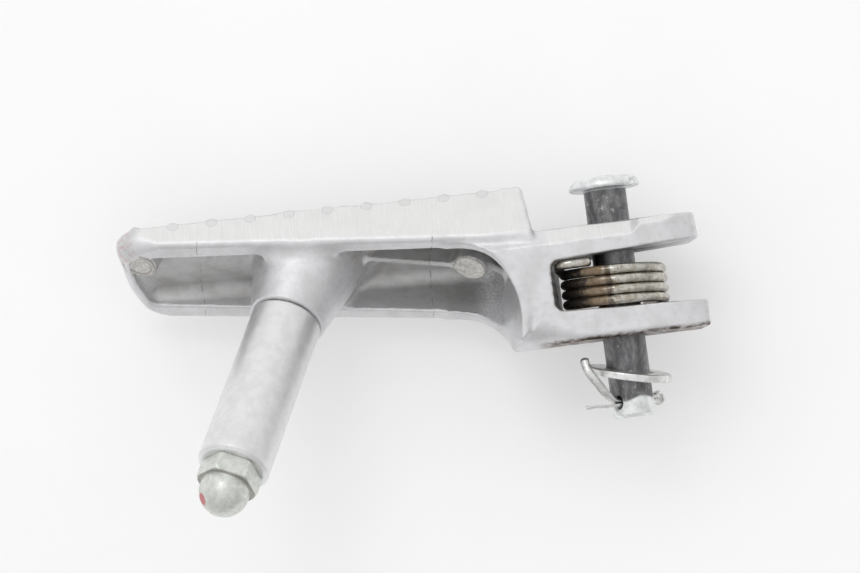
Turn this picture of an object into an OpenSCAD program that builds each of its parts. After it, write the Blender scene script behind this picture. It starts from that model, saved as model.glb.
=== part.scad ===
// Folding foot peg for a motorcycle: a cast channel body with a tread on top, a two-eared
// clevis on an inclined pivot pin, a torsion return spring and a long lean-angle feeler.
// Frame: the origin is on the pivot pin's axis, midway between the two ears. +X runs out to
// the tip, +Z is up through the tread, and +Y is the side the pin's head is on.

/* [Peg body] */
// Distance from the pivot axis to the furthest point of the tip
tip_x = 93.8; // [88:0.1:104]
// Width of the body measured at the pivot, before its flanks taper in
body_w = 26.4; // [25:0.1:28]
// How far each flank closes in, in mm per mm of length
flank_taper = 0.0265; // [0.01:0.0005:0.04]
// Height of the tread face above the pivot axis, at the tip
tread_z = 13.6; // [13:0.1:15]
// Rise of the tread towards the pivot, in mm per mm of length
tread_rise = 0.0085; // [0:0.0005:0.012]
// Height of the channel's rims above the pivot axis, extended to the pivot
rim_z0 = 0.5; // [0:0.1:1.5]
// Rise of the rims towards the tip, in mm per mm of length
rim_rise = 0.096; // [0.06:0.002:0.1]
// Height of the channel's floor above the pivot axis
floor_z = 11.8; // [11:0.1:12.4]
// Radius of the rounded tip end, seen from above
end_r = 42; // [36:1:60]

/* [Tread] */
// Number of cross bars on the tread
bar_count = 10; // [6:1:10]
// Distance from one bar to the next
bar_pitch = 7.3; // [6.8:0.05:7.3]
// Distance from the pivot axis to the first bar
first_bar_x = 24; // [23.5:0.1:25]
// Radius of each bar
bar_r = 1.05; // [0.8:0.05:1.4]
// Height that a bar stands above the tread face
bar_proud = 0.5; // [0.4:0.05:0.8]

/* [Clevis] */
// Lean of the pivot pin away from the vertical, across the body
pin_lean = 35; // [25:0.5:40]
// Yaw of the clevis against the length of the body
pin_yaw = 2.5; // [0:0.1:4]
// Distance between the outer faces of the two ears
ear_span = 21.5; // [20:0.1:24]
// Depth of each ear across the pin
ear_depth = 18; // [16:0.1:20]
// Distance from the pin's axis to the free ends of the ears
ear_reach = 16.2; // [15:0.1:17.5]
// Half of the gap between the ears, at the pin
gap_half = 5.2; // [4.8:0.05:5.6]
// How far each gap wall opens, in mm per mm towards the free ends
gap_draft = 0.04; // [0.02:0.005:0.06]
// Distance from the pin's axis to the bottom of the gap
gap_root = 12.7; // [12:0.1:13.2]

/* [Pivot pin] */
// Diameter of the pin
pin_d = 8; // [7:0.1:9]
// Radial running clearance of the pin in the ears
pin_play = 0.05; // [0.02:0.01:0.1]
// Distance from the origin to the underside of the head
head_seat = 17.4; // [16:0.1:20]
// Diameter of the head
head_d = 13.4; // [12:0.1:14]
// Thickness of the head
head_t = 2.7; // [2:0.1:3]
// Distance from the origin to the split pin end
pin_tail = 25.9; // [25:0.1:27]
// Distance from the origin to the split pin's hole
cotter_at = 22.9; // [22.5:0.1:23.2]
// Diameter of the split pin's hole
cotter_hole_d = 2.2; // [2:0.1:2.6]
// Direction of the split pin's hole around the pin
cotter_turn = 38; // [30:1:45]

/* [Washer] */
// Outside diameter of the loose washer
washer_d = 16; // [14:0.1:16.5]
// Hole of the washer, wide enough for it to hang askew
washer_hole_d = 9; // [9:0.1:9.4]
// Thickness of the washer
washer_t = 1.4; // [1:0.1:1.6]

/* [Return spring] */
// Diameter of the spring wire
wire_d = 1.85; // [1.5:0.05:1.85]
// Mean radius of the coil
coil_r = 9.2; // [8.5:0.1:9.3]
// Rise of the coil for each turn
coil_pitch = 1.88; // [1.86:0.01:1.9]
// Angle that the coil winds through
coil_angle = 1270; // [1200:10:1290]

/* [Feeler] */
// Lean of the feeler outwards from the tread's normal
feeler_lean = 19.5; // [15:0.5:22]
// Length of the sleeve
sleeve_l = 35; // [20:0.5:45]
// Outside diameter of the sleeve
sleeve_d = 13.3; // [12:0.1:14]
// Thread diameter of the stud
stud_d = 6; // [5:1:6]
// Width of the nut across its flats
nut_af = 10; // [9:0.5:11]
// Height of the nut's hexagon
nut_hex_h = 4; // [3.5:0.5:5]

/* [Hidden] */
$fn = 64;

flank_root = body_w / 2;
inner_root = 10.9;       // half width of the channel, extended to the pivot
inner_taper = 0.045;
root_x = 15.5;           // inboard end face of the body, at its foot
root_lean = 1;           // how far that face leans outwards by its top
end_centre = [tip_x - end_r, 10.2];
tip_rim = 1.9;           // thickness of the rim round the tip
front_corner = 5.2;
rear_corner = 3.4;
front_corner_in = 3;
rear_corner_in = 1.5;
lug_z = tread_z + 1.1;     // raised end lug beside the clevis
seam = [62.6, 0, -3.1];  // centre of the joint between the feeler's boss and its sleeve
seam_r = 7.1;
boss_h = 20;
boss_root_r = 11.8;
flare_c = [31.5, -8];    // centre of the concave flare under the clevis's root
flare_r = 11.4;
thread_depth = 10;
half_span = ear_span / 2;
half_depth = ear_depth / 2;
coil_centre_x = 0.5;
coil_top = 2.2;
dome_r = 4.6;
nut_neck_h = 1;          // straight neck between the nut's hexagon and its dome

function flank(x) = flank_root - flank_taper * x;
function inner(x) = inner_root - inner_taper * x;
function rim(x) = rim_z0 + rim_rise * x;
function tread(x) = tread_z + tread_rise * (tip_x - x);

// Points on an arc about c, from angle a0 to angle a1 in n steps
function arc(c, r, a0, a1, n) =
    [for (i = [0:n]) c + r * [cos(a0 + (a1 - a0) * i / n), sin(a0 + (a1 - a0) * i / n)]];

// Centre of a corner of radius r at height cy that touches an end arc of radius big from inside
function corner(cy, r, big) = [end_centre[0] + sqrt(pow(big - r, 2) - pow(cy - end_centre[1], 2)), cy];

// Angle of the point where that corner meets the end arc
function meet(c) = atan2(c[1] - end_centre[1], c[0] - end_centre[0]);

// Outline of the tip, from its rear flank round to its front flank
function tip_outline(rear_c, rear_r, front_c, front_r, big) = concat(
    arc(rear_c, rear_r, -90, meet(rear_c), 6),
    arc(end_centre, big, meet(rear_c), meet(front_c), 8),
    arc(front_c, front_r, meet(front_c), 90, 8));

function unit(v) = v / norm(v);
function tangent(p, i) = unit(p[min(i + 1, len(p) - 1)] - p[max(i - 1, 0)]);

// Ring of n points about c, square to t, with one side square to ref
function ring(c, t, ref, r, n) =
    let (s = unit(cross(t, ref)), u = cross(s, t))
    [for (k = [0:n - 1]) c + r * (cos(360 * k / n) * s + sin(360 * k / n) * u)];

// Round wire of radius r swept along the points p
module wire(p, r, n, ref) {
    last = len(p) - 1;
    points = [for (i = [0:last]) each ring(p[i], tangent(p, i), ref, r, n)];
    walls = [for (i = [0:last - 1], k = [0:n - 1])
        [i * n + k, i * n + (k + 1) % n, (i + 1) * n + (k + 1) % n, (i + 1) * n + k]];
    start_cap = [for (k = [0:n - 1]) n - 1 - k];
    end_cap = [for (k = [0:n - 1]) last * n + k];
    polyhedron(points, concat([start_cap], walls, [end_cap]), convexity = 8);
}

// Stands its children on the pivot: their +Z is the pin's axis, towards the head
module on_pivot() {
    rotate([-pin_lean, 0, 0])
        rotate([0, pin_yaw, 0])
            children();
}

// Stands its children on the feeler's seam: their +Z runs out along the feeler
module on_feeler() {
    translate(seam)
        rotate([0, 180 - feeler_lean, 0])
            children();
}

// Extrudes an outline drawn in X and Z from y = y0 to y = y1
module across(y0, y1) {
    translate([0, y1, 0])
        rotate([90, 0, 0])
            linear_extrude(height = y1 - y0)
                children();
}

// The body's outline from above
module planform() {
    rear = corner(-flank(86) + rear_corner, rear_corner, end_r);
    front = corner(flank(88) - front_corner, front_corner, end_r);
    polygon(concat([[root_x, -flank(root_x)]],
        tip_outline(rear, rear_corner, front, front_corner, end_r),
        [[root_x, flank(root_x)]]));
}

// The channel's outline from above, with a round end beside the clevis
module channel_plan() {
    big = end_r - tip_rim;
    rear = corner(-inner(86) + rear_corner_in, rear_corner_in, big);
    front = corner(inner(86) - front_corner_in, front_corner_in, big);
    polygon(concat([[21.8, -inner(21.8)]],
        tip_outline(rear, rear_corner_in, front, front_corner_in, big),
        arc([25, inner(25) - 6], 6, 90, 180, 8)));
}

// The body's outline from the side
module side_profile() {
    polygon([[root_x, rim(root_x)], [tip_x + 1, rim(tip_x + 1)], [tip_x + 1, tread_z],
        [21.4, tread(21.4)], [20.2, lug_z], [root_x + root_lean + 1.2, lug_z],
        [root_x + root_lean, lug_z - 1.4]]);
}

// Slab between the two ground flanks, carried on past the clevis
module flank_slab(top) {
    translate([0, 0, -30])
        linear_extrude(height = top + 30)
            polygon([[-25, -flank(-25)], [36, -flank(36)], [36, flank(36)], [-25, flank(-25)]]);
}

// Block at the clevis's root, with its concave flare down from the channel's rim
module clevis_root() {
    intersection() {
        across(-20, 20)
            polygon(concat([[8, 13], [8, -20], [flare_c[0] - flare_r, -20]],
                arc(flare_c, flare_r, 180, 90, 10), [[flare_c[0], 13]]));
        on_pivot()
            translate([8, -15, -half_span])
                cube([28, 15 + half_depth, ear_span]);
    }
}

// Outline of the two ears together, square to the ears
module ear_outline() {
    polygon(concat([[gap_root + 1, -half_span], [gap_root + 1, half_span]],
        arc([-ear_reach + 1.2, half_span - 1.2], 1.2, 90, 180, 4),
        arc([-ear_reach + 1.2, -half_span + 1.2], 1.2, 180, 270, 4)));
}

// Outline of an ear seen along the pin: its front is bevelled towards the free end
module ear_plan() {
    nose_r = 1.8;
    polygon(concat([[gap_root + 3, -half_depth], [gap_root + 3, half_depth], [-9.8, half_depth]],
        arc([nose_r - ear_reach, half_depth - 3.6], nose_r, 108, 180, 6),
        arc([3 - ear_reach, 3 - half_depth], 3, 180, 270, 4)));
}

// Space between the ears, with rounded corners at its root
module gap_outline() {
    corner_r = 1.6;
    half_root = gap_half - gap_draft * gap_root;
    half_mouth = gap_half + gap_draft * 24;
    polygon(concat([[-24, -half_mouth]],
        arc([gap_root - corner_r, corner_r - half_root], corner_r, -90, 0, 5),
        arc([gap_root - corner_r, half_root - corner_r], corner_r, 0, 90, 5),
        [[-24, half_mouth]]));
}

// The gap between the ears: its root leans in towards the coil from the front
module clevis_gap() {
    lean = 2.7;
    on_pivot()
        difference() {
            across(-25, 25) gap_outline();
            linear_extrude(height = ear_span, center = true)
                polygon([[gap_root + 1, half_depth], [gap_root, half_depth], [gap_root - lean, -half_depth],
                    [gap_root - lean, -25], [gap_root + 1, -25]]);
        }
}

// Body shell, tread bars and clevis, before anything is cut
module casting_mass() {
    intersection() {
        across(-20, 20) side_profile();
        linear_extrude(height = 30) planform();
    }
    intersection() {
        linear_extrude(height = 30) planform();
        for (i = [0:bar_count - 1])
            translate([first_bar_x + bar_pitch * i, 20,
                tread(first_bar_x + bar_pitch * i) + bar_proud - bar_r])
                rotate([90, 0, 0])
                    cylinder(r = bar_r, h = 40, $fn = 32);
    }
    intersection() {
        flank_slab(tread_z + 0.3);
        union() {
            clevis_root();
            on_pivot()
                intersection() {
                    across(-half_depth, half_depth) ear_outline();
                    linear_extrude(height = ear_span + 2, center = true) ear_plan();
                }
        }
    }
}

// Conical boss for the feeler, blended into the channel
module feeler_boss() {
    intersection() {
        on_feeler()
            translate([0, 0, -boss_h])
                cylinder(h = boss_h, r1 = boss_root_r, r2 = seam_r);
        translate([40, -flank(70), -12])
            cube([40, 2 * flank(70), floor_z + 12.6]);
    }
}

// Ejector pillar by the clevis, the thin rib that joins it to the boss, and the tip's round pad
module channel_details() {
    intersection() {
        translate([27.4, 1.7, 4.6])
            rotate([0, -feeler_lean, 0])
                cylinder(h = 12, r = 3.25);
        translate([10, -10, 0])
            cube([30, 20, floor_z + 0.6]);
    }
    across(1.1, 2.3)
        polygon([[29, 5.2], [50, 9.4], [50, floor_z + 0.5], [25, floor_z + 0.5]]);
    intersection() {
        translate([89.2, 4.6, rim(89.2) + 0.5])
            rotate([0, -feeler_lean, 0])
                cylinder(h = 8, r = 3.4);
        linear_extrude(height = floor_z + 0.5) planform();
    }
}

module peg_casting() {
    color([0.74, 0.75, 0.76])
    difference() {
        union() {
            difference() {
                casting_mass();
                translate([0, 0, -25])
                    linear_extrude(height = floor_z + 25)
                        channel_plan();
            }
            feeler_boss();
            channel_details();
        }
        clevis_gap();
        on_pivot() cylinder(r = pin_d / 2 + pin_play, h = 60, center = true);
        on_feeler()
            translate([0, 0, -thread_depth])
                cylinder(r = stud_d / 2, h = thread_depth + 5, $fn = 48);
    }
}

module pivot_pin() {
    r = pin_d / 2;
    head_r = head_d / 2;
    color([0.45, 0.45, 0.46])
    on_pivot()
        difference() {
            rotate_extrude()
                polygon([[0, -pin_tail], [r - 0.6, -pin_tail], [r, -pin_tail + 0.6],
                    [r, head_seat], [head_r - 0.7, head_seat], [head_r, head_seat + 0.7],
                    [head_r, head_seat + 1.3], [head_r - 0.6, head_seat + 2.1],
                    [head_r - 1.9, head_seat + head_t], [0, head_seat + head_t]]);
            translate([0, 0, -cotter_at])
                rotate([90, 0, cotter_turn - 90])
                    cylinder(d = cotter_hole_d, h = pin_d + 4, center = true, $fn = 32);
        }
}

// Split pin: one wire through the hole, round the eye and back, its two legs bent apart
module split_pin() {
    h = [cos(cotter_turn), sin(cotter_turn), 0];
    up = [0, 0, 1];
    at = -cotter_at * up;
    half_gap = 0.46;
    eye_r = 1.0;
    eye_at = 7.4;
    eye = [for (a = [30:30:330]) at - eye_at * h + eye_r * (cos(a) * h + sin(a) * up)];
    path = concat(
        [[8.7, 6, -13.8], [7.9, 6.6, -14.1], [6.6, 7, -16.8], [5.6, 6, -19], [4.3, 4.3, -21.2]],
        [at + 3.6 * h + half_gap * up, at - 5.4 * h + half_gap * up],
        eye,
        [at - 5.4 * h - half_gap * up, at + 3.6 * h - half_gap * up],
        [[5.2, 3.7, -23.2], [6.8, 4.3, -22.8], [8.5, 4.6, -22.8], [9.7, 4.6, -23.2]]);
    color([0.78, 0.78, 0.76])
    on_pivot() wire(path, 0.42, 10, [h[1], -h[0], 0]);
}

// Flat washer, resting askew on the pin against the split pin
module pin_washer() {
    color([0.76, 0.77, 0.76])
    on_pivot()
        translate([-0.15, 0, -17.6])
            rotate([-8, -13.5, 0])
                difference() {
                    cylinder(d = washer_d, h = washer_t, center = true);
                    cylinder(d = washer_hole_d, h = washer_t + 1, center = true);
                }
}

// Torsion spring: a straight hooked leg at the top, the coil, and a leg out to the bracket
module return_spring() {
    step = 15;
    hook = [[4.9, 7.4, 3.85], [7, 7.4, 3.85], [9, 7.4, 3.85], [10.4, 6.9, 3.8], [10.9, 5.6, 3.6],
        [10.7, 3.8, 3.1], [10.1, 1.8, 2.6]];
    coil = [for (a = [0:step:coil_angle - 1])
        [coil_centre_x + coil_r * cos(a), coil_r * sin(a), coil_top - coil_pitch * a / 360]];
    end = [coil_centre_x + coil_r * cos(coil_angle), coil_r * sin(coil_angle),
        coil_top - coil_pitch * coil_angle / 360];
    away = [-sin(coil_angle), cos(coil_angle), 0];
    color([0.62, 0.6, 0.55])
    on_pivot() wire(concat(hook, coil, [end, end + 6 * away, end + 12 * away]), wire_d / 2, 10, [0, 0, 1]);
}

module feeler_sleeve() {
    r = sleeve_d / 2;
    bore_r = stud_d / 2 + 0.2;
    edge = 0.6;
    color([0.72, 0.73, 0.74])
    on_feeler()
        rotate_extrude()
            polygon([[bore_r, 0], [r - 0.2, 0], [r, 0.2], [r, sleeve_l - edge],
                [r - edge, sleeve_l], [bore_r, sleeve_l]]);
}

module feeler_stud() {
    r = stud_d / 2;
    tip = 0.6;
    low = 0.4 - thread_depth;
    high = sleeve_l + 7;
    color([0.6, 0.61, 0.6])
    on_feeler()
        rotate_extrude($fn = 48)
            polygon([[0, low], [r - tip, low], [r, low + tip], [r, high - tip], [r - tip, high],
                [0, high]]);
}

module domed_nut() {
    corner_r = nut_af / 2 / cos(30);
    chamfer = 0.5;
    turn = -13;
    color([0.72, 0.73, 0.68])
    on_feeler()
        translate([0, 0, sleeve_l])
            difference() {
                union() {
                    intersection() {
                        rotate([0, 0, turn])
                            cylinder(r = corner_r, h = nut_hex_h, $fn = 6);
                        rotate_extrude()
                            polygon([[0, 0], [corner_r - chamfer, 0], [corner_r, chamfer / 2],
                                [corner_r, nut_hex_h - chamfer], [corner_r - 2 * chamfer, nut_hex_h],
                                [0, nut_hex_h]]);
                    }
                    cylinder(r = dome_r, h = nut_hex_h + nut_neck_h);
                    translate([0, 0, nut_hex_h + nut_neck_h])
                        intersection() {
                            sphere(r = dome_r);
                            translate([0, 0, -1])
                                cylinder(r = dome_r + 1, h = dome_r + 2);
                        }
                }
                translate([0, 0, -1])
                    cylinder(r = stud_d / 2, h = 8.2, $fn = 48);
            }
}

peg_casting();
pivot_pin();
split_pin();
pin_washer();
return_spring();
feeler_sleeve();
feeler_stud();
domed_nut();
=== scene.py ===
import math

import bpy
import numpy as np
from mathutils import Matrix, Vector


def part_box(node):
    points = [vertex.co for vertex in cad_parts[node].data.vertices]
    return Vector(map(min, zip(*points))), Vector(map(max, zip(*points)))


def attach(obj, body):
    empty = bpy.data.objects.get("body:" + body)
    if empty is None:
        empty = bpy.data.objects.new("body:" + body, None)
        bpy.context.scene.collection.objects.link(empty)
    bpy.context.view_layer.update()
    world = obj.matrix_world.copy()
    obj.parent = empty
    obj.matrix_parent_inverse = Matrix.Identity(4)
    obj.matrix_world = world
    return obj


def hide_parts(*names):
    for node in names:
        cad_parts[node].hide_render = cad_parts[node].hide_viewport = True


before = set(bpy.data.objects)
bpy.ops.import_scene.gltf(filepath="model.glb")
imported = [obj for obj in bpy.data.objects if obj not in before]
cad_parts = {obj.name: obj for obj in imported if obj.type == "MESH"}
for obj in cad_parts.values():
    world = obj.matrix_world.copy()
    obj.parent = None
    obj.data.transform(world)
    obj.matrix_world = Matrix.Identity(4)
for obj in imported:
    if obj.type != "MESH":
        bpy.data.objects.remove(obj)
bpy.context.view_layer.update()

# Shapes are worked out in millimetres in the part's own frame and built in metres.
MM = 0.001

# ---- Driving dimensions, in millimetres -------------------------------------------------
TIP_X = 93.8
TREAD_Z = 13.6            # tread surface at the tip
TREAD_RISE = 0.0085       # rise of the tread towards the pivot
FLOOR_Z = 11.8            # floor of the channel
KEEP_Z = 12.4             # details inside the channel end here, in the floor's metal
RIM_RISE = 0.096          # rise of the channel's rim towards the tip
FLANK_TAPER = 0.0265      # the flanks close in towards the tip
EAR_HALF = 10.75          # outer face of each ear, along the pin
EAR_DEPTH = 9.0           # front and rear faces of the clevis, across the pin
EAR_REACH = 16.4          # free ends of the ears, from the pin's axis
GAP_HALF = 5.2            # half the space between the ears
GAP_ROOT = 12.7
GAP_LEAN = 0.15           # its root comes in towards the coil away from the front
FLARE_X = 31.5            # centre of the concave flare under the clevis's root
FLARE_Z = -8.0
FLARE_R = 11.5
PIN_R = 4.0
HEAD_R = 6.7
HEAD_SEAT = 17.4
PIN_TAIL = 25.9
COTTER_AT = 22.9
COTTER_TURN = math.radians(38)
SEAM = np.array([62.6, 0.0, -3.1])
SEAM_R = 7.1
SLEEVE_L = 35.0
SLEEVE_R = 6.65
STUD_R = 3.0
NUT_HALF = 5.0            # half the nut's width across its flats
DOME_R = 4.6
END_CENTRE = (51.8, 10.2)
END_R = 41.94
TIP_RIM = 1.9
BAR_R = 1.05
BAR_PROUD = 0.5
BAR_PITCH = 7.3
BAR_X = [24.0 + BAR_PITCH * i for i in range(10)]
PILLAR = np.array([27.4, 1.7, 4.6])
PILLAR_R = 3.25
TIP_PAD = np.array([89.4, 4.6, 9.56])
TIP_PAD_R = 3.4
PARTING_X = (34.4, 78.2)  # witness lines across the channel
WASHER_R = 8.0
WASHER_HOLE_R = 4.5
WASHER_HALF_T = 0.7
WIRE_R = 0.925            # return spring
COIL_R = 9.2
COIL_PITCH = 1.88
COIL_A = 0.5              # the coil sits off the pin's axis by this
COIL_TOP = 2.2
COIL_DEGREES = 1270


def turn(axis, degrees):
    return np.array(Matrix.Rotation(math.radians(degrees), 3, axis))


# Columns are the local axes: the pivot's +Z is the pin's axis, the feeler's +Z runs out to the nut.
PIVOT = turn("X", -35) @ turn("Y", 2.5)
FEELER = turn("Y", 180 - 19.5)
DRAW = turn("Y", -19.5)   # direction in which the channel's details stand


# ---- Distance fields, negative inside ---------------------------------------------------
def join(a, b, r):
    """Union with a concave fillet of radius r."""
    return np.maximum(r, np.minimum(a, b)) - np.hypot(np.maximum(r - a, 0), np.maximum(r - b, 0))


def both(a, b, r):
    """Intersection with its edge rounded to radius r."""
    return np.minimum(-r, np.maximum(a, b)) + np.hypot(np.maximum(r + a, 0), np.maximum(r + b, 0))


def step(lo, hi, v):
    """Smooth step from 0 at lo to 1 at hi."""
    t = np.clip((v - lo) / (hi - lo), 0, 1)
    return t * t * (3 - 2 * t)


def path_distance(u, v, points):
    """Distance from (u, v) to an open line through the points."""
    best = np.full(u.shape, 1e9)
    for (u0, v0), (u1, v1) in zip(points, points[1:]):
        du, dv = u1 - u0, v1 - v0
        t = np.clip(((u - u0) * du + (v - v0) * dv) / (du * du + dv * dv), 0, 1)
        best = np.minimum(best, (u - u0 - t * du) ** 2 + (v - v0 - t * dv) ** 2)
    return np.sqrt(best)


def flank(x):
    """Half the body's width."""
    return 13.2 - FLANK_TAPER * x


def rim(x):
    """Height of the channel's open rim."""
    return 0.5 + RIM_RISE * x


def tread(x):
    """Height of the tread between its bars."""
    return TREAD_Z + TREAD_RISE * (TIP_X - x)


def channel_plan(x, y, z):
    """The channel seen from above, with its walls drafted in towards the floor."""
    half = 10.9 - 0.045 * x
    front, rear = y - half, -y - half
    tip = np.hypot(x - END_CENTRE[0], y - END_CENTRE[1]) - (END_R - TIP_RIM)
    rear_skew = np.maximum(3.8 - y, 0) * 0.2
    end = (19 + rear_skew - x) / 1.01
    far = np.maximum(both(front, tip, 3), both(rear, tip, 1.5))
    near = np.maximum(both(front, end, 6), both(rear, end, 3))
    return np.maximum(far, near) + 0.07 * np.clip(z - rim(x), 0, 12)


def body_shape(x, y, z):
    """Outer shape of the body with its tread bars."""
    shoulder = 0.42 * np.maximum(3.9 - z, 0) * step(24.5, 20, x)
    front, rear = y - flank(x) + shoulder, -y - flank(x)
    tip = np.hypot(x - END_CENTRE[0], y - END_CENTRE[1]) - END_R
    plan = np.maximum(both(front, tip, 5.2), both(rear, tip, 3.4))
    inboard = 15.5 + 0.09 * np.clip(z - 4, 0, 11) - x
    plan = both(plan, inboard, 0.7)
    bottom = (rim(x) - z) / 1.005
    lug = 0.45 * step(21.6, 20.0, x) - 1.6 * step(17.6, 15.6, x) ** 2
    top = z - tread(x) - lug
    edge = 1.1 + 2.0 * step(85, 90, x) * step(-3, 3, y)
    shape = both(both(plan, bottom, edge), top, 0.45)
    bars = np.full(x.shape, 1e9)
    for bar_x in BAR_X:
        bars = np.minimum(bars, np.hypot(x - bar_x, z - tread(bar_x) - BAR_PROUD + BAR_R) - BAR_R)
    return join(shape, both(bars, plan, 0.2), 0.2)


def clevis_shape(p, a, b, c):
    """The clevis root with its flare, and the two ears as one block."""
    x, y, z = p.T
    front, rear = y - flank(x), -y - flank(x)
    past = x - FLARE_X
    flare = FLARE_R - np.hypot(np.minimum(past, 0), np.maximum(
        z - FLARE_Z - RIM_RISE * np.maximum(past, 0) - 0.3 * np.maximum(past, 0) ** 2, 0))
    span = np.abs(c) - EAR_HALF
    end = -EAR_REACH + 0.054 * c - a
    bevel = -(a + 9.8) * 0.309 + (b - EAR_DEPTH) * 0.951
    ends = both(bevel, end, 2.0)
    lower = step(1, -2, c)
    edge = 0.5 + 0.8 * lower + 4.2 * step(7, 17, a) * step(2, -6, c)
    outline_2d = both(both(span, ends, 0.8), np.maximum(flare, x - 34), 0.8)
    back = -b - EAR_DEPTH - 6 * step(11, 17, a)
    shape = both(both(outline_2d, b - EAR_DEPTH, edge), both(back, end, 2.5), 1.0)
    wall = 1.7 - 1.9 * step(-7.5, -10.5, c)
    ridge = both(channel_plan(x, y, rim(x)) - wall, b - EAR_DEPTH, 0.8)
    ridge = np.maximum(both(ridge, outline_2d + 0.35, 0.9), 13 - a)
    shape = join(shape, ridge, 1.0)
    # The ground facet on the upper ear is shallower past the pin
    facet = y + FLANK_TAPER * x - 11.95 - 0.85 * step(-2.9, -5.1, a)
    shape = np.where(c > -4, both(shape, facet, 0.12), shape)
    shape = both(shape, front, 0.1 + step(20, 27, x))
    return both(np.maximum(shape, z - TREAD_Z), rear, 1.1)


def gap_shape(a, b, c):
    """Space between the ears; its root leans in towards the coil."""
    root = GAP_ROOT - GAP_LEAN * np.clip(EAR_DEPTH - b, 0, 2 * EAR_DEPTH)
    return both(np.abs(c) - GAP_HALF + 0.04 * a, a - root, 1.6)


def boss_shape(p):
    """Conical boss of the feeler."""
    q = (p - SEAM) @ FEELER
    radius = np.hypot(q[:, 0], q[:, 1])
    cone = (radius - SEAM_R + 0.235 * q[:, 2]) / 1.027
    return both(np.maximum(cone, p[:, 2] - KEEP_Z), q[:, 2], 0.3)


def stud_hole(p):
    q = (p - SEAM) @ FEELER
    return np.maximum(np.hypot(q[:, 0], q[:, 1]) - STUD_R, -10 - q[:, 2])


def pad(p, at, radius, edge):
    """Round pad standing on the channel floor."""
    q = (p - at) @ DRAW
    return both(np.hypot(q[:, 0], q[:, 1]) - radius - 0.03 * q[:, 2], -q[:, 2], edge)


def casting_shape(p):
    x, y, z = p.T
    a, b, c = (p @ PIVOT).T
    wave = 0.5 + 0.25 * (np.sin(0.9 * x + 1.3 * np.sin(0.7 * y)) + np.sin(1.1 * z + 0.8 * np.sin(0.6 * x)))
    mass = join(body_shape(x, y, z), clevis_shape(p, a, b, c), 0.9)
    cavity = both(channel_plan(x, y, z), z - FLOOR_Z, 2.6)
    shell = both(mass, -cavity, 0.45)
    keep = np.maximum(np.abs(y) - flank(x), z - KEEP_Z)
    boss = np.maximum(boss_shape(p), np.abs(y) - flank(x))
    shell = join(shell, boss, 2.6)
    pillar = np.maximum(pad(p, PILLAR, PILLAR_R, 0.4), keep)
    shell = join(shell, pillar, 1.3)
    depth = 5.2 + 0.2 * (x - 29) - z
    thin = both(np.abs(y - 1.7) - 0.55 - 0.05 * np.maximum(-depth, 0), depth, 0.4)
    thin = np.maximum(thin, np.maximum(np.maximum(27 - x, x - 52), keep))
    shell = join(shell, thin, 1.1)
    web = path_distance(x, y, [(27, 1.7), (23.7, 1.2), (20.8, -1.2), (19, -4.4)])
    web = np.maximum(both(web - 0.8, 4.9 - z, 0.6), keep)
    shell = join(shell, web, 1.4)
    tip_pad = np.maximum(pad(p, TIP_PAD, TIP_PAD_R, 0.3), np.maximum(keep, np.hypot(
        x - END_CENTRE[0], y - END_CENTRE[1]) - END_R + 0.4))
    shell = join(shell, tip_pad, 0.35)
    q = (p - TIP_PAD) @ DRAW
    ring = np.hypot(np.hypot(q[:, 0], q[:, 1]) - 2.75, q[:, 2]) - 0.28
    shell = join(shell, np.maximum(ring, -q[:, 2] - 0.22), 0.15)
    shell = both(shell, -gap_shape(a, b, c), 0.4)
    shell = both(shell, PIN_R + 0.05 - np.hypot(a, b), 0.3)
    shell = np.maximum(shell, -stud_hole(p))
    ground = np.maximum(np.abs(y) - flank(x), z - TREAD_Z - 1.1)
    return np.maximum(shell + 0.03 * wave, ground)


def pin_shape(p):
    """Clevis pin: chamfered shaft, upset head with two dents, and the split pin's hole."""
    a, b, c = (p @ PIVOT).T
    r = np.hypot(a, b)
    chamfer = (r - PIN_R - c - PIN_TAIL + 0.6) * 0.7071
    shaft = np.maximum(both(both(r - PIN_R, -PIN_TAIL - c, 0.2), c - HEAD_SEAT - 1, 0.1), chamfer)
    dome = np.hypot(r, c - HEAD_SEAT - 2.7 + 24) - 24
    head = both(both(r - HEAD_R, HEAD_SEAT - c, 0.6), dome, 1.25)
    pin = join(shaft, head, 0.25)
    for dent_a, dent_b, dent_c in ((-5.0, 4.5, 18.1), (-6.0, 3.0, 18.8)):
        pin = both(pin, 0.75 - np.sqrt((a - dent_a) ** 2 + (b - dent_b) ** 2 + (c - dent_c) ** 2), 0.2)
    along = a * math.cos(COTTER_TURN) + b * math.sin(COTTER_TURN)
    across = b * math.cos(COTTER_TURN) - a * math.sin(COTTER_TURN)
    hole = np.hypot(across, c + COTTER_AT) - 1.1
    countersink = hole - np.maximum(np.abs(along) - 3.4, 0) * 0.8
    return both(pin, -countersink, 0.12)


WASHER = turn("X", -8) @ turn("Y", -13.5)
WASHER_AT = np.array([-0.15, 0, -17.6])


def washer_shape(p):
    """Stamped washer: one face has rolled edges and the other is sharp."""
    q = (p @ PIVOT - WASHER_AT) @ WASHER
    r = np.hypot(q[:, 0], q[:, 1])
    disc = both(both(r - WASHER_R, q[:, 2] - WASHER_HALF_T, 0.4), -WASHER_HALF_T - q[:, 2], 0.15)
    return both(disc, WASHER_HOLE_R - r, 0.25)


def sleeve_shape(p):
    """Tube of the feeler, chamfered at the nut and turned down a hair at the boss."""
    q = (p - SEAM) @ FEELER
    r, s = np.hypot(q[:, 0], q[:, 1]), q[:, 2]
    tube = np.maximum(r - SLEEVE_R, np.maximum(-s, s - SLEEVE_L))
    tube = np.maximum(tube, (r - SLEEVE_R + s - SLEEVE_L + 0.65) * 0.707)
    tube = np.maximum(tube, (r - SLEEVE_R - s + 0.35) * 0.707)
    return both(tube, STUD_R + 0.2 - r, 0.2)


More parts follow.
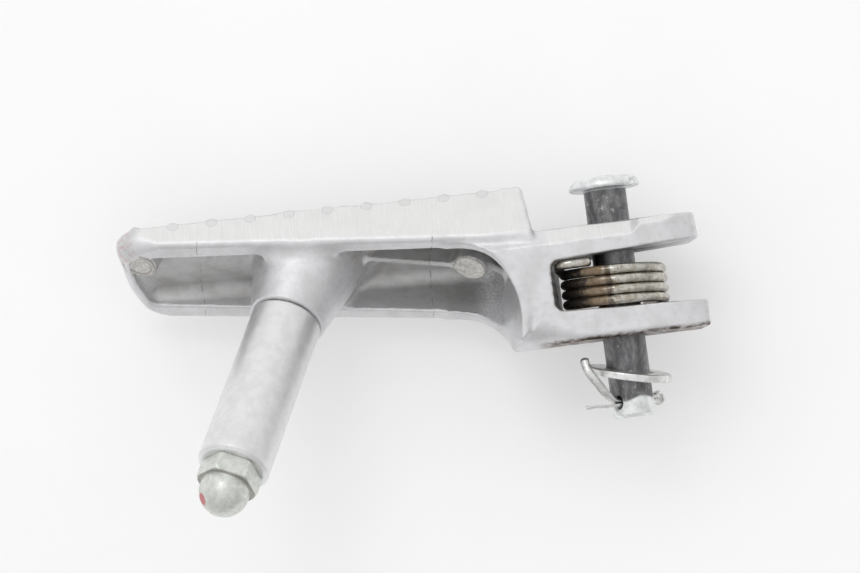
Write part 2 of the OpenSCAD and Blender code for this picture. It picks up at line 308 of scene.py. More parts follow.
def nut_shape(p):
    """Domed nut: chamfered hexagon, a neck and a dome."""
    q = (p - SEAM) @ FEELER @ turn("Z", -13)
    r, s = np.hypot(q[:, 0], q[:, 1]), q[:, 2] - SLEEVE_L
    sides = [q[:, 0] * math.cos(k) + q[:, 1] * math.sin(k)
             for k in (math.radians(30), math.radians(90), math.radians(150))]
    hexagon = np.abs(sides[0])
    for side in sides[1:]:
        hexagon = both(hexagon - NUT_HALF, np.abs(side) - NUT_HALF, 0.12) + NUT_HALF
    block = np.maximum(hexagon - NUT_HALF, np.maximum(-s, s - 4))
    block = both(block, (r - 5.5 + 0.58 * (s - 3.7)) / 1.156, 0.1)
    block = both(block, (r - 5.55 - 0.58 * (s - 0.1)) / 1.156, 0.1)
    dome = both(np.hypot(r, np.maximum(s - 5, 0)) - DOME_R, 3.7 - s, 0.1)
    return both(join(block, dome, 0.35), STUD_R - np.where(s < 7.2, r, 99), 0.1)


# ---- Mesh from a distance field ---------------------------------------------------------
def sample(shape, low, size, cell):
    """Field on the grid's points: worked out near the surface and filled in with its sign elsewhere."""
    block = 4
    reach = cell * block * 0.87 + cell
    count = [math.ceil(n / block) for n in size]
    centres = np.stack(np.meshgrid(*[np.arange(n) for n in count], indexing="ij"), -1).reshape(-1, 3)
    coarse = shape(low + cell * (centres * block + (block - 1) / 2))
    field = np.repeat(np.repeat(np.repeat(
        np.where(coarse < 0, -1.0, 1.0).reshape(count), block, 0), block, 1), block, 2)
    near = centres[np.abs(coarse) < reach] * block
    offsets = np.stack(np.meshgrid(*[np.arange(block)] * 3, indexing="ij"), -1).reshape(-1, 3)
    for start in range(0, len(near), 4000):
        index = (near[start:start + 4000, None] + offsets).reshape(-1, 3)
        field[index[:, 0], index[:, 1], index[:, 2]] = shape(low + cell * index)
    return field


def surface_net(field):
    """One vertex in each cell that the surface crosses, and one face for each grid edge it crosses."""
    inside = field < 0
    nx, ny, nz = field.shape
    total = np.zeros((nx - 1, ny - 1, nz - 1, 3), np.float32)
    count = np.zeros((nx - 1, ny - 1, nz - 1), np.float32)
    corners = [(i, j, k) for i in (0, 1) for j in (0, 1) for k in (0, 1)]
    for first in corners:
        for axis in range(3):
            if first[axis]:
                continue
            second = tuple(1 if n == axis else first[n] for n in range(3))
            part = [tuple(slice(o, o + n - 1) for o, n in zip(corner, field.shape))
                    for corner in (first, second)]
            f0, f1 = field[part[0]], field[part[1]]
            cross = inside[part[0]] != inside[part[1]]
            t = np.where(cross, f0 / np.where(cross, f0 - f1, 1), 0)
            for n in range(3):
                total[..., n] += np.where(cross, first[n] + (t if n == axis else 0), 0)
            count += cross
    cells = np.argwhere(count > 0)
    number = np.full(count.shape, -1)
    number[tuple(cells.T)] = np.arange(len(cells))
    points = cells + total[tuple(cells.T)] / count[tuple(cells.T)][:, None]
    faces = []
    for axis in range(3):
        u, v = [n for n in range(3) if n != axis]
        ahead = [slice(1, -1)] * 3
        ahead[axis] = slice(0, -1)
        behind = list(ahead)
        behind[axis] = slice(1, None)
        starts = inside[tuple(ahead)]
        cross = starts != inside[tuple(behind)]
        at = np.argwhere(cross)
        at[:, u] += 1
        at[:, v] += 1
        ring = []
        for du, dv in ((0, 0), (1, 0), (1, 1), (0, 1)):
            cell = at.copy()
            cell[:, u] -= du
            cell[:, v] -= dv
            ring.append(number[tuple(cell.T)])
        quads = np.stack(ring, -1)
        flip = starts[cross] == (axis == 1)
        quads[flip] = quads[flip][:, ::-1]
        faces.append(quads)
    return points, np.concatenate(faces)


def gradient(shape, p, eps):
    """Unit direction in which the field grows, and how steeply, from differences over eps."""
    slopes = [shape(p + eps * e) - shape(p - eps * e) for e in np.eye(3)]
    g = np.stack(slopes, -1)
    length = np.linalg.norm(g, axis=1)
    return g / np.maximum(length[:, None], 1e-9), length / (2 * eps)


def solid(name, shape, low, high, cell):
    """Mesh of a distance field inside the box from low to high, in millimetres."""
    low = np.array(low, float) - 2.3 * cell
    size = [math.ceil((h - l) / cell) + 6 for l, h in zip(low, high)]
    points, faces = surface_net(sample(shape, low, size, cell))
    points = low + cell * points
    for _ in range(3):
        normal, slope = gradient(shape, points, 0.02)
        move = shape(points) / np.clip(slope, 0.5, 2)
        points = points - normal * np.clip(move, -0.5 * cell, 0.5 * cell)[:, None]
    normal, _ = gradient(shape, points, 0.03)
    piece = mesh_piece(name, points, faces.tolist())
    piece.data.normals_split_custom_set_from_vertices(normal.tolist())
    return piece, points, normal


def mesh_piece(name, points, faces):
    """Smooth-shaded object from points in millimetres."""
    mesh = bpy.data.meshes.new(name)
    mesh.from_pydata((np.asarray(points) * MM).tolist(), [], faces)
    mesh.validate()
    mesh.shade_smooth()
    piece = bpy.data.objects.new(name, mesh)
    bpy.context.scene.collection.objects.link(piece)
    return piece


def give_values(piece, name, values):
    """Stores one number per vertex for the piece's material."""
    attribute = piece.data.attributes.new(name, "FLOAT", "POINT")
    attribute.data.foreach_set("value", np.asarray(values, np.float32))


# ---- Swept wires ------------------------------------------------------------------------
def smooth_path(points, steps):
    """Catmull-Rom curve through the points."""
    p = [2 * points[0] - points[1]] + list(points) + [2 * points[-1] - points[-2]]
    curve = []
    for i in range(1, len(p) - 2):
        for k in range(steps):
            t = k / steps
            curve.append(0.5 * (2 * p[i] + (p[i + 1] - p[i - 1]) * t
                                + (2 * p[i - 1] - 5 * p[i] + 4 * p[i + 1] - p[i + 2]) * t * t
                                + (3 * p[i] - p[i - 1] - 3 * p[i + 1] + p[i + 2]) * t ** 3))
    curve.append(np.array(p[-2]))
    return np.array(curve)


def sweep(name, path, section, guide):
    """Sweeps a closed section along a path; the section's second axis leans towards guide."""
    tangent = np.gradient(path, axis=0)
    tangent /= np.linalg.norm(tangent, axis=1, keepdims=True)
    side = np.cross(tangent, guide)
    side /= np.linalg.norm(side, axis=1, keepdims=True)
    up = np.cross(side, tangent)
    n = len(section)
    cap = 0.55
    rounding = [(cap * (1 - math.sin(k)), math.cos(k)) for k in (1.2, 0.9, 0.6, 0.3, 0.0)]
    travelled = np.concatenate([[0], np.cumsum(np.linalg.norm(np.diff(path, axis=0), axis=1))])
    middle = np.flatnonzero((travelled > cap + 0.05) & (travelled < travelled[-1] - cap - 0.05))
    rings = [(path[0] + tangent[0] * inset, side[0], up[0], grow) for inset, grow in rounding]
    rings += [(path[i], side[i], up[i], 1.0) for i in middle]
    rings += [(path[-1] - tangent[-1] * inset, side[-1], up[-1], grow)
              for inset, grow in reversed(rounding)]
    points = [at + grow * (s * u + t * v) for at, s, t, grow in rings for u, v in section]
    faces = []
    for i in range(len(rings) - 1):
        for k in range(n):
            j = (k + 1) % n
            faces.append((i * n + k, i * n + j, (i + 1) * n + j, (i + 1) * n + k))
    faces.append(tuple(range(n - 1, -1, -1)))
    faces.append(tuple((len(rings) - 1) * n + k for k in range(n)))
    return mesh_piece(name, np.array(points) @ PIVOT.T, faces)


def round_section(radius, sides):
    return [(radius * math.cos(2 * math.pi * k / sides), radius * math.sin(2 * math.pi * k / sides))
            for k in range(sides)]


# ---- Pieces -----------------------------------------------------------------------------
def make_casting():
    piece, p, n = solid("peg_body", casting_shape, (-15.3, -13.8, -15), (93.9, 13.8, 14.8),
                        0.42)
    x, y, z = p.T
    a, b, c = (p @ PIVOT).T
    on_flank = step(0.25, 0.08, flank(x) - np.abs(y)) * step(0.97, 0.99, np.abs(n[:, 1]))
    on_facet = step(0.97, 0.99, n[:, 1]) * step(2, 4, c) * step(14, 12, x)
    give_values(piece, "ground", np.maximum(on_flank, on_facet))
    # Painted shade: the channel's walls and floor get darker deeper below the rim, less so on the boss
    inside = step(1.2, -0.6, channel_plan(x, y, z)) * step(0.6, 3.2, z - rim(x)) * step(17.5, 19.5, x)
    boss = step(1.6, 0.2, boss_shape(p))
    give_values(piece, "inside", inside * (1 - 0.75 * boss))
    give_values(piece, "boss", boss * step(1.5, -0.5, channel_plan(x, y, z)))
    give_values(piece, "gap", step(0.5, 0.05, gap_shape(a, b, c)) * step(-16, -4, a))
    under = step(-EAR_HALF + 0.9, -EAR_HALF + 0.1, c) * step(17, 13, a)
    give_values(piece, "under", under)
    sand = step(7, 3, np.hypot(x - 20, y + 9)) * step(1.0, 0.2, channel_plan(x, y, z))
    give_values(piece, "sand", sand)
    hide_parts("peg_casting")
    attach(piece, "peg")
    return piece


def make_pin():
    piece, p, _ = solid("clevis_pin", pin_shape, (-8, -20, -24), (8, 20, 22), 0.24)
    a, _, c = (p @ PIVOT).T
    plated = np.maximum(step(HEAD_SEAT - 0.3, HEAD_SEAT, c), step(-22.2, -22.7, c + 0.35 * np.sin(a)))
    give_values(piece, "plated", plated)
    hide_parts("pivot_pin")
    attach(piece, "pivot")
    return piece


def make_washer():
    low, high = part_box("pin_washer")
    piece, _, _ = solid("flat_washer", washer_shape, np.array(low) / MM, np.array(high) / MM,
                        0.16)
    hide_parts("pin_washer")
    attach(piece, "washer")
    return piece


def make_sleeve():
    low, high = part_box("feeler_sleeve")
    piece, p, _ = solid("feeler_tube", sleeve_shape, np.array(low) / MM, np.array(high) / MM,
                        0.27)
    q = (p - SEAM) @ FEELER
    give_values(piece, "along", q[:, 2])
    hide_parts("feeler_sleeve")
    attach(piece, "peg")
    return piece


def make_nut():
    low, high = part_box("domed_nut")
    piece, p, _ = solid("cap_nut", nut_shape, np.array(low) / MM, np.array(high) / MM,
                        0.15)
    q = (p - SEAM) @ FEELER
    give_values(piece, "along", q[:, 2] - SLEEVE_L)
    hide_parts("domed_nut")
    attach(piece, "peg")
    return piece


def make_spring():
    hook = [(4.9, 7.4, 3.85), (6, 7.4, 3.85), (7, 7.4, 3.85), (8, 7.4, 3.85), (9, 7.4, 3.85),
            (10.4, 6.9, 3.8), (10.9, 5.6, 3.6), (10.7, 3.8, 3.1), (10.1, 1.8, 2.6)]
    coil = []
    for degrees in [*range(0, COIL_DEGREES, 15), COIL_DEGREES]:
        angle = math.radians(degrees)
        coil.append((COIL_A + COIL_R * math.cos(angle), COIL_R * math.sin(angle),
                     COIL_TOP - COIL_PITCH * degrees / 360))
    end = np.array(coil.pop())
    away = np.array([-math.sin(angle), math.cos(angle), 0])
    leg = [end + reach * away for reach in (0, 3, 6, 9, 12)]
    path = smooth_path([np.array(q, float) for q in hook + coil + leg], 3)
    piece = sweep("torsion_spring", path, round_section(WIRE_R, 20), np.array([0, 0, 1.0]))
    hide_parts("return_spring")
    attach(piece, "peg")
    return piece


def make_split_pin():
    """Half-round wire folded flat to flat round an eye, with its legs bent apart."""
    h = np.array([math.cos(COTTER_TURN), math.sin(COTTER_TURN), 0])
    up = np.array([0, 0, 1.0])
    wide = np.cross(h, up)
    at = -COTTER_AT * up
    gap = 0.05
    route = [((8.5, 6.0, -13.8), (0.84, 0, -0.5)), ((8.35, 6.3, -15.2), (0.84, 0, -0.5)),
             ((7.9, 6.7, -16.7), (0.84, 0, -0.5)), ((6.5, 5.9, -18.9), (0.84, -0.1, -0.5)),
             ((5.0, 4.5, -21.2), (0.8, -0.5, -0.3)), (at + 3.5 * h + gap * up, wide),
             (at - 5.6 * h + gap * up, wide)]
    for degrees in range(45, 316, 30):
        angle = math.radians(degrees)
        route.append((at - 6.8 * h + 0.72 * (math.cos(angle) * h + math.sin(angle) * up), wide))
    route += [(at - 5.6 * h - gap * up, wide), (at + 3.5 * h - gap * up, wide),
              ((5.3, 3.6, -23.05), wide), ((6.8, 4.2, -22.85), wide), ((8.4, 4.5, -22.75), wide),
              ((9.5, 4.5, -22.95), wide)]
    path = smooth_path([np.array(point, float) for point, _ in route], 6)
    guides = smooth_path([np.array(guide, float) for _, guide in route], 6)
    section = [(0.82 * math.cos(t), 0.82 * math.sin(t)) for t in np.linspace(-1.5, 1.5, 13)]
    piece = sweep("cotter_pin", path, section, guides)
    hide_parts("split_pin")
    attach(piece, "pivot")
    return piece


# ---- Materials --------------------------------------------------------------------------
class Nodes:
    """Short calls for building a material's nodes."""

    def __init__(self, name):
        self.material = bpy.data.materials.new(name)
        self.material.use_nodes = True
        self.tree = self.material.node_tree
        self.shader = self.tree.nodes["Principled BSDF"]
        self.where = self.add("ShaderNodeTexCoord").outputs["Object"]

    def add(self, kind, **settings):
        node = self.tree.nodes.new(kind)
        for key, value in settings.items():
            setattr(node, key, value)
        return node

    def link(self, source, socket):
        if isinstance(source, bpy.types.NodeSocket):
            self.tree.links.new(source, socket)
        elif socket.type == "RGBA" and len(source) == 3:
            socket.default_value = (*source, 1)
        else:
            socket.default_value = source

    def scaled(self, scale, turn=(0, 0, 0)):
        """Object coordinates in millimetres times scale, turned first."""
        node = self.add("ShaderNodeMapping")
        self.link(self.where, node.inputs["Vector"])
        node.inputs["Rotation"].default_value = turn
        factors = scale if isinstance(scale, tuple) else (scale,) * 3
        node.inputs["Scale"].default_value = [s / MM for s in factors]
        return node.outputs["Vector"]

    def noise(self, scale, detail=3, rough=0.55, turn=(0, 0, 0)):
        node = self.add("ShaderNodeTexNoise")
        self.link(self.scaled(scale, turn), node.inputs["Vector"])
        node.inputs["Scale"].default_value = 1
        node.inputs["Detail"].default_value = detail
        node.inputs["Roughness"].default_value = rough
        return node.outputs["Fac"]

    def ramp(self, source, lo, hi, out_lo=0.0, out_hi=1.0):
        node = self.add("ShaderNodeMapRange", interpolation_type="SMOOTHSTEP")
        for value, key in ((source, "Value"), (lo, "From Min"), (hi, "From Max"),
                           (out_lo, "To Min"), (out_hi, "To Max")):
            self.link(value, node.inputs[key])
        return node.outputs["Result"]

    def maths(self, operation, first, second=0.0):
        node = self.add("ShaderNodeMath", operation=operation)
        self.link(first, node.inputs[0])
        self.link(second, node.inputs[1])
        return node.outputs[0]

    def times(self, *factors):
        result = factors[0]
        for factor in factors[1:]:
            result = self.maths("MULTIPLY", result, factor)
        return result

    def mix(self, amount, first, second):
        node = self.add("ShaderNodeMix", data_type="RGBA")
        self.link(amount, node.inputs[0])
        self.link(first, node.inputs[6])
        self.link(second, node.inputs[7])
        return node.outputs[2]

    def value(self, name):
        return self.add("ShaderNodeAttribute", attribute_name=name).outputs["Fac"]

    def axis(self, direction, offset=0.0):
        """Distance in millimetres along a direction, from the origin plus offset."""
        node = self.add("ShaderNodeVectorMath", operation="DOT_PRODUCT")
        self.link(self.where, node.inputs[0])
        node.inputs[1].default_value = [d / MM for d in direction]
        return self.maths("ADD", node.outputs["Value"], offset)

    def band(self, coordinate, centre, half, soft):
        """1 where the coordinate is within half of centre, fading out over soft."""
        away = self.maths("ABSOLUTE", self.maths("SUBTRACT", coordinate, centre))
        return self.ramp(away, half, half + soft, 1.0, 0.0)

    def patch(self, centre, radius, soft):
        """1 inside a ball about a point in millimetres."""
        node = self.add("ShaderNodeVectorMath", operation="DISTANCE")
        self.link(self.where, node.inputs[0])
        node.inputs[1].default_value = [v * MM for v in centre]
        away = self.maths("MULTIPLY", node.outputs["Value"], 1 / MM)
        return self.ramp(away, radius, radius + soft, 1.0, 0.0)

    def bump(self, *layers):
        """Stacks bumps of (height, depth in millimetres)."""
        normal = None
        for height, depth in layers:
            node = self.add("ShaderNodeBump")
            node.inputs["Distance"].default_value = depth * MM
            node.inputs["Strength"].default_value = 1
            self.link(height, node.inputs["Height"])
            if normal is not None:
                self.link(normal, node.inputs["Normal"])
            normal = node.outputs["Normal"]
        self.link(normal, self.shader.inputs["Normal"])

    def finish(self, colour, rough, metallic=1.0):
        self.link(colour, self.shader.inputs["Base Color"])
        self.link(rough, self.shader.inputs["Roughness"])
        self.link(metallic, self.shader.inputs["Metallic"])
        return self.material


def cast_aluminium():
    m = Nodes("cast_aluminium")
    ground, inside, sand = m.value("ground"), m.value("inside"), m.value("sand")
    gap, under, boss = m.value("gap"), m.value("under"), m.value("boss")
    grain = m.noise(3.2, 4, 0.65)
    cloud = m.noise(0.22, 3, 0.6)
    mottle = m.noise(0.9, 4, 0.6)
    coarse = m.noise(1.6, 5, 0.75)
    colour = m.mix(m.ramp(cloud, 0.35, 0.7), (0.76, 0.76, 0.775), (0.67, 0.67, 0.68))
    colour = m.mix(m.times(m.ramp(mottle, 0.5, 0.75), 0.35), colour, (0.58, 0.57, 0.56))
    # Ground flanks, with the cut ends of the tread bars showing on them
    strokes = m.noise((8.0, 0.4, 0.22), 3, 0.6, (0, 0.1, 0))
    brushed = m.mix(m.ramp(strokes, 0.3, 0.7), (0.84, 0.84, 0.84), (0.775, 0.77, 0.76))
    brushed = m.mix(m.times(m.ramp(cloud, 0.45, 0.7), 0.3), brushed, (0.72, 0.72, 0.72))
    across = m.maths("PINGPONG", m.axis((1, 0, 0), -BAR_X[0]), BAR_PITCH / 2)
    height = m.axis((TREAD_RISE, 0, 1), BAR_R - tread(0) - BAR_PROUD)
    bar = m.maths("SQRT", m.maths("ADD", m.times(across, across), m.times(height, height)))
    bar = m.maths("ADD", bar, m.ramp(m.axis((1, 0, 0)), 21, 20, 0.0, 5.0))
    brushed = m.mix(m.ramp(bar, BAR_R, BAR_R - 0.1, 0.0, 0.4), brushed, (0.66, 0.66, 0.665))
    brushed = m.mix(m.times(m.band(bar, BAR_R, 0.03, 0.1), 0.35), brushed, (0.45, 0.44, 0.43))
    colour = m.mix(ground, colour, brushed)
    # Painted shade inside the channel: its walls and floor are darker, in a warm mottled grey
    inside_shade_colour = m.mix(m.ramp(cloud, 0.4, 0.65), (0.56, 0.56, 0.56), (0.45, 0.45, 0.44))
    inside_shade_colour = m.mix(m.times(m.ramp(mottle, 0.45, 0.7), 0.5), inside_shade_colour, (0.5, 0.475, 0.435))
    colour = m.mix(m.times(inside, 0.9), colour, inside_shade_colour)
    speckle = m.ramp(m.noise(2.2, 4, 0.75), 0.42, 0.56)
    colour = m.mix(m.times(sand, speckle, 0.85), colour, (0.8, 0.81, 0.83))
    # Rough tops of the two ejector pads
    for at, radius, rings in ((PILLAR, PILLAR_R, (3.0,)), (TIP_PAD, TIP_PAD_R, (3.1, 2.3))):
        u, v = (m.axis(DRAW[:, k], -at.dot(DRAW[:, k])) for k in (0, 1))
        centre = m.maths("SQRT", m.maths("ADD", m.times(u, u), m.times(v, v)))
        low = m.band(m.axis(DRAW[:, 2], -at.dot(DRAW[:, 2])), 0, 0.3, 0.2)
        top = m.times(low, m.ramp(centre, radius + 0.1, radius, 0.0, 1.0))
        face = m.mix(m.ramp(coarse, 0.4, 0.6), (0.68, 0.67, 0.64), (0.47, 0.45, 0.42))
        colour = m.mix(m.times(top, 0.85), colour, face)
        for ring in rings:
            colour = m.mix(m.times(m.band(centre, ring, 0.05, 0.15), top, 0.6), colour, (0.26, 0.25, 0.23))
    # Witness lines of the die's parting faces
    along = m.axis((1, 0, 0))
    wander = m.maths("ADD", along, m.ramp(m.noise(0.35, 3), 0, 1, -0.6, 0.6))
    lines = m.maths("MAXIMUM", *(m.band(wander, at, 0.02, 0.12) for at in PARTING_X))
    lines = m.times(lines, m.ramp(m.noise(0.6, 3), 0.4, 0.62))
    lines = m.times(lines, m.maths("SUBTRACT", 1.0, ground), m.ramp(m.axis((0, 0, 1)), 12.5, 11.5))
    colour = m.mix(m.times(lines, 0.7), colour, (0.2, 0.19, 0.18))
    # Grease and rust on the lower ear, marks and painted shade in the gap between the ears, and stains
    patches = m.noise(0.55, 5, 0.7)
    grime = m.times(under, m.ramp(patches, 0.34, 0.54))
    colour = m.mix(m.times(grime, 0.9), colour, (0.13, 0.075, 0.04))
    colour = m.mix(m.times(under, m.ramp(patches, 0.52, 0.6), 0.9), colour, (0.03, 0.025, 0.02))
    fine = m.noise(1.1, 4, 0.7)
    # Brown stripes at the coil's pitch across the gap's root wall
    turns = m.maths("SINE", m.times(m.axis(PIVOT[:, 2]), 2 * math.pi / COIL_PITCH))
    stripe = m.ramp(m.maths("ADD", turns, m.ramp(fine, 0, 1, -1.2, 1.2)), 0.0, 0.5)
    colour = m.mix(m.times(gap, stripe, 0.6), colour, (0.36, 0.29, 0.25))
    # Painted shade: the gap between the ears goes black away from its front, with a ragged edge
    deep_gap_shade = m.ramp(m.maths("ADD", m.axis(PIVOT[:, 1]), m.ramp(fine, 0, 1, -3.5, 3.5)), 3.4, 2.6)
    colour = m.mix(m.times(gap, deep_gap_shade, 0.95), colour, (0.035, 0.03, 0.028))
    brown = m.times(boss, m.ramp(patches, 0.5, 0.68), m.ramp(m.axis((0, 0, 1)), 3, 8))
    colour = m.mix(m.times(brown, 0.55), colour, (0.42, 0.34, 0.25))
    pink = m.times(m.patch((91.2, 7.2, 12.4), 2.2, 2), m.ramp(m.noise(1.2, 4), 0.45, 0.6))
    colour = m.mix(m.times(pink, 0.5), colour, (0.6, 0.4, 0.38))
    rough = m.maths("ADD", m.ramp(grain, 0.3, 0.7, 0.38, 0.52), m.times(inside, 0.08))
    m.bump((grain, 0.03), (m.times(strokes, ground), 0.012),
           (m.times(coarse, m.maths("ADD", sand, 0.12)), 0.25), (lines, -0.05))
    return m.finish(colour, rough)


def sleeve_aluminium():
    m = Nodes("sleeve_aluminium")
    along = m.value("along")
    turned = m.noise((0.5, 0.5, 0.5), 3)
    fine = m.noise(4.0, 4, 0.6)
    colour = m.mix(m.ramp(turned, 0.35, 0.65), (0.82, 0.82, 0.82), (0.76, 0.76, 0.76))
    colour = m.mix(m.times(m.ramp(fine, 0.6, 0.75), 0.3), colour, (0.6, 0.6, 0.58))
    edge = m.band(along, 0.2, 0.15, 0.5)
    colour = m.mix(m.times(edge, 0.3), colour, (0.5, 0.49, 0.47))
    m.bump((fine, 0.012), (m.noise(0.35, 2), 0.05))
    return m.finish(colour, m.ramp(fine, 0.3, 0.7, 0.34, 0.46))


def pin_steel():
    m = Nodes("pin_steel")
    plated = m.value("plated")
    streaks = m.noise((0.9, 0.5, 0.22), 5, 0.7, (math.radians(35), 0, 0))
    blotch = m.noise(0.8, 5, 0.7)
    worn = m.mix(m.ramp(streaks, 0.38, 0.68), (0.13, 0.13, 0.135), (0.26, 0.26, 0.265))
    worn = m.mix(m.times(m.ramp(blotch, 0.56, 0.7), 0.75), worn, (0.55, 0.52, 0.49))
    zinc = m.mix(m.ramp(blotch, 0.4, 0.65), (0.86, 0.88, 0.88), (0.7, 0.72, 0.71))
    colour = m.mix(plated, worn, zinc)
    m.bump((m.noise(2.0, 4, 0.7), 0.04))
    return m.finish(colour, m.ramp(blotch, 0.3, 0.7, 0.3, 0.5))


def zinc_plate():
    m = Nodes("zinc_plate")
    blotch = m.noise(0.9, 4, 0.6)
    colour = m.mix(m.ramp(blotch, 0.4, 0.65), (0.84, 0.85, 0.84), (0.7, 0.7, 0.68))
    colour = m.mix(m.times(m.ramp(m.noise(1.4, 4, 0.7), 0.58, 0.7), 0.5), colour, (0.35, 0.34, 0.32))
    m.bump((m.noise(3.0, 3), 0.02))
    return m.finish(colour, m.ramp(blotch, 0.3, 0.7, 0.26, 0.4))


def nut_zinc():
    m = Nodes("nut_zinc")
    along = m.value("along")
    blotch = m.noise(0.9, 4, 0.6)
    colour = m.mix(m.ramp(blotch, 0.38, 0.65), (0.74, 0.76, 0.72), (0.64, 0.66, 0.62))
    colour = m.mix(m.times(m.ramp(m.noise(1.8, 4, 0.7), 0.58, 0.72), 0.3), colour, (0.45, 0.44, 0.39))
    colour = m.mix(m.times(m.band(along, 4.0, 0.1, 0.35), 0.7), colour, (0.3, 0.29, 0.26))
    dab = m.patch((80.0, 1.0, -42.7), 0.9, 0.5)
    colour = m.mix(m.times(dab, 0.8), colour, (0.55, 0.12, 0.13))
    m.bump((m.noise(2.4, 4), 0.03))
    return m.finish(colour, m.ramp(blotch, 0.3, 0.7, 0.4, 0.52))


def spring_steel():
    m = Nodes("spring_steel")
    blotch = m.noise(0.7, 5, 0.7)
    outer = m.axis(PIVOT[:, 0])
    front = m.axis(PIVOT[:, 1])
    high = m.ramp(m.axis(PIVOT[:, 2]), 3.1, 2.6)
    rust = m.ramp(m.maths("ADD", outer, m.ramp(blotch, 0, 1, -3.5, 3.5)), 0.2, 4.0)
    colour = m.mix(m.ramp(blotch, 0.4, 0.6), (0.6, 0.585, 0.54), (0.42, 0.39, 0.33))
    rust = m.times(rust, high)
    colour = m.mix(m.times(rust, 0.85), colour, (0.17, 0.105, 0.05))
    # Painted shade: the coil goes black where it reaches in towards the clevis root
    root_shade = m.ramp(m.maths("ADD", outer, m.ramp(blotch, 0, 1, -3, 3)), 5.5, 8.0)
    colour = m.mix(m.times(root_shade, high, 0.95), colour, (0.04, 0.035, 0.03))
    dirt = m.band(m.maths("ADD", outer, m.ramp(blotch, 0, 1, -0.6, 0.6)), 2.3, 0.25, 0.6)
    colour = m.mix(m.times(dirt, high, 0.75), colour, (0.09, 0.07, 0.05))
    # Painted shade: the coil is darker towards its back, away from the front of the clevis
    colour = m.mix(m.ramp(front, 5, 0, 0.0, 0.6), colour, (0.1, 0.085, 0.07))
    m.bump((m.noise(2.5, 4), 0.02))
    return m.finish(colour, m.ramp(blotch, 0.3, 0.7, 0.1, 0.24), m.ramp(rust, 0, 1, 1, 0.6))


def stud_steel():
    m = Nodes("stud_steel")
    colour = m.mix(m.ramp(m.noise(1.0, 3), 0.4, 0.6), (0.6, 0.6, 0.58), (0.5, 0.5, 0.47))
    return m.finish(colour, m.ramp(m.noise(2.0, 3), 0.3, 0.7, 0.35, 0.5))


def table_paint():
    m = Nodes("table")
    m.shader.inputs["Specular IOR Level"].default_value = 0.2
    m.shader.inputs["Emission Color"].default_value = (1, 1, 1, 1)
    m.shader.inputs["Emission Strength"].default_value = 0.14
    colour = m.mix(m.ramp(m.noise(0.02, 3), 0.3, 0.7), (0.93, 0.93, 0.93), (0.91, 0.91, 0.91))
    m.finish(colour, 0.6, 0.0)
    clear = m.add("ShaderNodeBsdfTransparent")
    blend = m.add("ShaderNodeMixShader")
    facing = m.add("ShaderNodeNewGeometry").outputs["Backfacing"]
    m.link(facing, blend.inputs[0])
    m.link(m.shader.outputs[0], blend.inputs[1])
    m.link(clear.outputs[0], blend.inputs[2])
    output = next(n for n in m.tree.nodes if n.type == "OUTPUT_MATERIAL")
    m.link(blend.outputs[0], output.inputs["Surface"])
    return m.material


# ---- Scene ------------------------------------------------------------------------------
# The camera's axes and place in the part's frame: it looks into the channel from below and in front
VIEW_RIGHT = Vector((-0.99604, -0.02748, -0.0845))
VIEW_UP = Vector((-0.08313, 0.62402, 0.77698))
VIEW_BACK = Vector((0.03138, 0.78093, -0.62383))
VIEW_FRAME = Matrix((VIEW_RIGHT, VIEW_UP, VIEW_BACK)).transposed()
CAMERA_AT = Vector((53.96, 468.86, -372.15)) * MM


def make_camera():
    data = bpy.data.cameras.new("camera")
    data.sensor_width = 36
    data.lens = 133.1
    data.clip_start = 0.01
    camera = bpy.data.objects.new("camera", data)
    bpy.context.scene.collection.objects.link(camera)
    camera.matrix_world = Matrix.Translation(CAMERA_AT) @ VIEW_FRAME.to_4x4()
    bpy.context.scene.camera = camera


def in_view(right, up, back):
    """Point in metres given along the camera's axes from the part's origin."""
    return VIEW_RIGHT * right + VIEW_UP * up + VIEW_BACK * back


def make_light(name, at, size, power):
    data = bpy.data.lights.new(name, "AREA")
    data.shape = "DISK"
    data.size = size
    data.energy = power
    light = bpy.data.objects.new(name, data)
    bpy.context.scene.collection.objects.link(light)
    place = in_view(*at)
    facing = (place - in_view(-0.045, 0, 0)).to_track_quat("Z", "Y").to_matrix().to_4x4()
    light.matrix_world = Matrix.Translation(place) @ facing


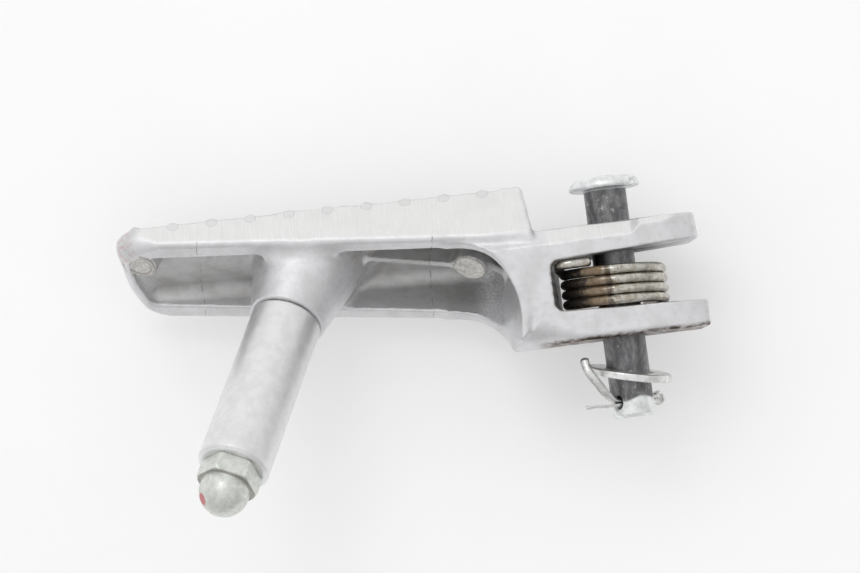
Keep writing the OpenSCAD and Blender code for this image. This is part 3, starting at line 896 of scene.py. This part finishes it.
def make_table(casting):
    """Table plane square to the view, just behind the lowest point of the peg."""
    depth = min(VIEW_BACK.dot(v.co) for v in casting.data.vertices) - 0.0003
    half = 1.6
    mesh = bpy.data.meshes.new("table")
    mesh.from_pydata([in_view(u * half, v * half, depth) for u, v in ((-1, -1), (1, -1), (1, 1), (-1, 1))],
                     [], [(0, 1, 2, 3)])
    table = bpy.data.objects.new("table", mesh)
    bpy.context.scene.collection.objects.link(table)
    mesh.materials.append(table_paint())
    table.visible_shadow = False


def make_world():
    """Bright white tent, dimmer towards one side."""
    world = bpy.data.worlds.new("studio")
    world.use_nodes = True
    tree = world.node_tree
    direction = tree.nodes.new("ShaderNodeTexCoord")
    facing = tree.nodes.new("ShaderNodeVectorMath")
    facing.operation = "DOT_PRODUCT"
    facing.inputs[1].default_value = (0.8 * VIEW_UP - 0.3 * VIEW_RIGHT + 0.9 * VIEW_BACK).normalized()
    level = tree.nodes.new("ShaderNodeMapRange")
    level.inputs["From Min"].default_value = -0.5
    level.inputs["From Max"].default_value = 0.6
    level.inputs["To Min"].default_value = 0.48
    level.inputs["To Max"].default_value = 0.9
    tree.nodes["Background"].inputs["Color"].default_value = (1, 1, 1, 1)
    tree.links.new(direction.outputs["Generated"], facing.inputs[0])
    tree.links.new(facing.outputs["Value"], level.inputs["Value"])
    tree.links.new(level.outputs["Result"], tree.nodes["Background"].inputs["Strength"])
    bpy.context.scene.world = world


def main():
    make_camera()
    casting = make_casting()
    casting.data.materials.append(cast_aluminium())
    make_pin().data.materials.append(pin_steel())
    zinc = zinc_plate()
    make_washer().data.materials.append(zinc)
    make_split_pin().data.materials.append(zinc)
    make_sleeve().data.materials.append(sleeve_aluminium())
    make_nut().data.materials.append(nut_zinc())
    make_spring().data.materials.append(spring_steel())
    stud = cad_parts["feeler_stud"]
    steel = stud_steel()
    for slot in stud.material_slots:
        slot.material = steel
    make_table(casting)
    make_world()
    make_light("key", (-0.3, 0.55, 0.7), 0.5, 0.9)
    bpy.context.scene.view_settings.view_transform = "Standard"


main()
